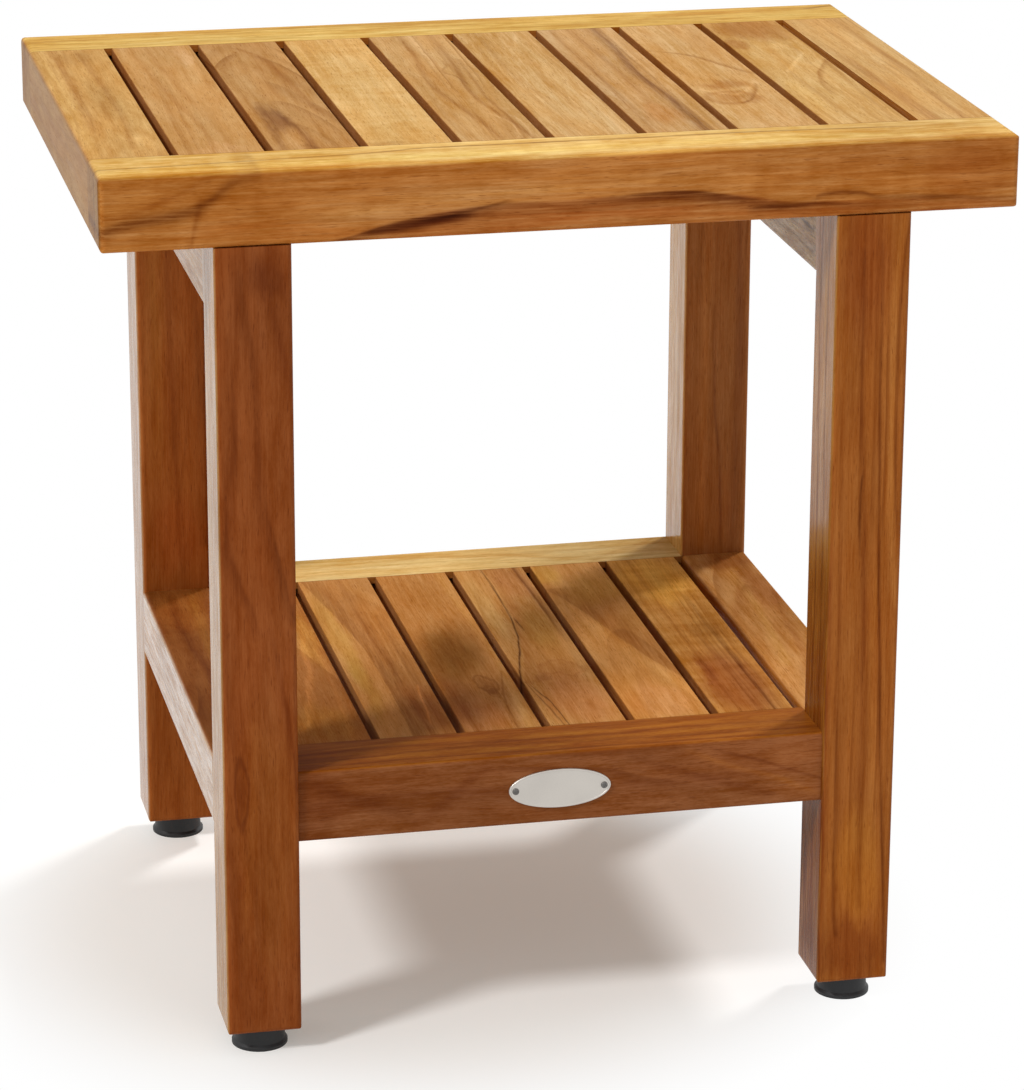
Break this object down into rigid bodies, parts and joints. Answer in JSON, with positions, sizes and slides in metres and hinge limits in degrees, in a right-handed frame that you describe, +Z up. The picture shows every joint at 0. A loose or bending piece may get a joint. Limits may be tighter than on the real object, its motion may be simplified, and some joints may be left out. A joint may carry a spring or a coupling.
{
  "type": "teak shower bench",
  "caption": "Rectangular slatted teak shower bench with a slatted lower shelf, square legs and height-adjustable round feet.",
  "frame": {"origin": "on the floor under the middle of the seat, with the feet screwed fully in", "axes": "+X to the right end, +Y to the back, +Z up"},
  "size_m": [0.457, 0.33, 0.461],
  "materials": {
    "teak_seat_slats": "oiled teak, golden brown, satin",
    "teak_seat_frame": "oiled teak, golden brown, satin",
    "teak_legs": "oiled teak, red brown, satin",
    "teak_shelf_slats": "oiled teak, mid brown, satin",
    "teak_shelf_rails": "oiled teak, red brown, satin",
    "stainless_fasteners": "plain stainless",
    "brass_inserts": "machined brass",
    "zinc_stems": "zinc plated",
    "black_pads": "moulded, faint sheen",
    "plate_metal": "fine brushed"
  },
  "bodies": {
    "frame": {"seat_front_rail": "teak_seat_frame", "seat_back_rail": "teak_seat_frame", "seat_left_end_board": "teak_seat_frame", "seat_right_end_board": "teak_seat_frame", "seat_slat_1": "teak_seat_slats", "seat_slat_2": "teak_seat_slats", "seat_slat_3": "teak_seat_slats", "seat_slat_4": "teak_seat_slats", "seat_slat_5": "teak_seat_slats", "seat_slat_6": "teak_seat_slats", "seat_slat_7": "teak_seat_slats", "seat_slat_8": "teak_seat_slats", "seat_left_bearer": "teak_seat_frame", "seat_right_bearer": "teak_seat_frame", "leg_front_left": "teak_legs", "leg_front_right": "teak_legs", "leg_back_left": "teak_legs", "leg_back_right": "teak_legs", "left_upper_side_rail": "teak_legs", "right_upper_side_rail": "teak_legs", "left_lower_side_rail": "teak_legs", "right_lower_side_rail": "teak_legs", "shelf_front_rail": "teak_shelf_rails", "shelf_back_rail": "teak_shelf_rails", "shelf_slat_1": "teak_shelf_slats", "shelf_slat_2": "teak_shelf_slats", "shelf_slat_3": "teak_shelf_slats", "shelf_slat_4": "teak_shelf_slats", "shelf_slat_5": "teak_shelf_slats", "shelf_slat_6": "teak_shelf_slats", "seat_bolts": "stainless_fasteners", "seat_bolt_washers": "stainless_fasteners", "seat_bolt_inserts": "brass_inserts", "foot_inserts": "brass_inserts", "oval_plate": "plate_metal", "plate_screws": "stainless_fasteners"},
    "foot_stem_front_left": {"foot_stem_front_left": "zinc_stems"},
    "foot_pad_front_left": {"foot_pad_front_left": "black_pads"},
    "foot_stem_front_right": {"foot_stem_front_right": "zinc_stems"},
    "foot_pad_front_right": {"foot_pad_front_right": "black_pads"},
    "foot_stem_back_left": {"foot_stem_back_left": "zinc_stems"},
    "foot_pad_back_left": {"foot_pad_back_left": "black_pads"},
    "foot_stem_back_right": {"foot_stem_back_right": "zinc_stems"},
    "foot_pad_back_right": {"foot_pad_back_right": "black_pads"}
  },
  "joints": [
    {"name": "front_left_foot_travel", "type": "slide", "parent": "frame", "child": "foot_stem_front_left", "axis": [0, 0, -1], "range_m": [0, 0.009]},
    {"name": "front_left_foot_turn", "type": "hinge", "parent": "foot_stem_front_left", "child": "foot_pad_front_left", "pos_m": [-0.155, -0.146, 0], "axis": [0, 0, -1], "range_deg": [0, 2520]},
    {"name": "front_right_foot_travel", "type": "slide", "parent": "frame", "child": "foot_stem_front_right", "axis": [0, 0, -1], "range_m": [0, 0.009]},
    {"name": "front_right_foot_turn", "type": "hinge", "parent": "foot_stem_front_right", "child": "foot_pad_front_right", "pos_m": [0.155, -0.146, 0], "axis": [0, 0, -1], "range_deg": [0, 2520]},
    {"name": "back_left_foot_travel", "type": "slide", "parent": "frame", "child": "foot_stem_back_left", "axis": [0, 0, -1], "range_m": [0, 0.009]},
    {"name": "back_left_foot_turn", "type": "hinge", "parent": "foot_stem_back_left", "child": "foot_pad_back_left", "pos_m": [-0.155, 0.146, 0], "axis": [0, 0, -1], "range_deg": [0, 2520]},
    {"name": "back_right_foot_travel", "type": "slide", "parent": "frame", "child": "foot_stem_back_right", "axis": [0, 0, -1], "range_m": [0, 0.009]},
    {"name": "back_right_foot_turn", "type": "hinge", "parent": "foot_stem_back_right", "child": "foot_pad_back_right", "pos_m": [0.155, 0.146, 0], "axis": [0, 0, -1], "range_deg": [0, 2520]}
  ],
  "couplings": [
    {"joint": "front_left_foot_travel", "follows": "front_left_foot_turn", "m_per_rad": 0.00019894},
    {"joint": "front_right_foot_travel", "follows": "front_right_foot_turn", "m_per_rad": 0.00019894},
    {"joint": "back_left_foot_travel", "follows": "back_left_foot_turn", "m_per_rad": 0.00019894},
    {"joint": "back_right_foot_travel", "follows": "back_right_foot_turn", "m_per_rad": 0.00019894}
  ]
}
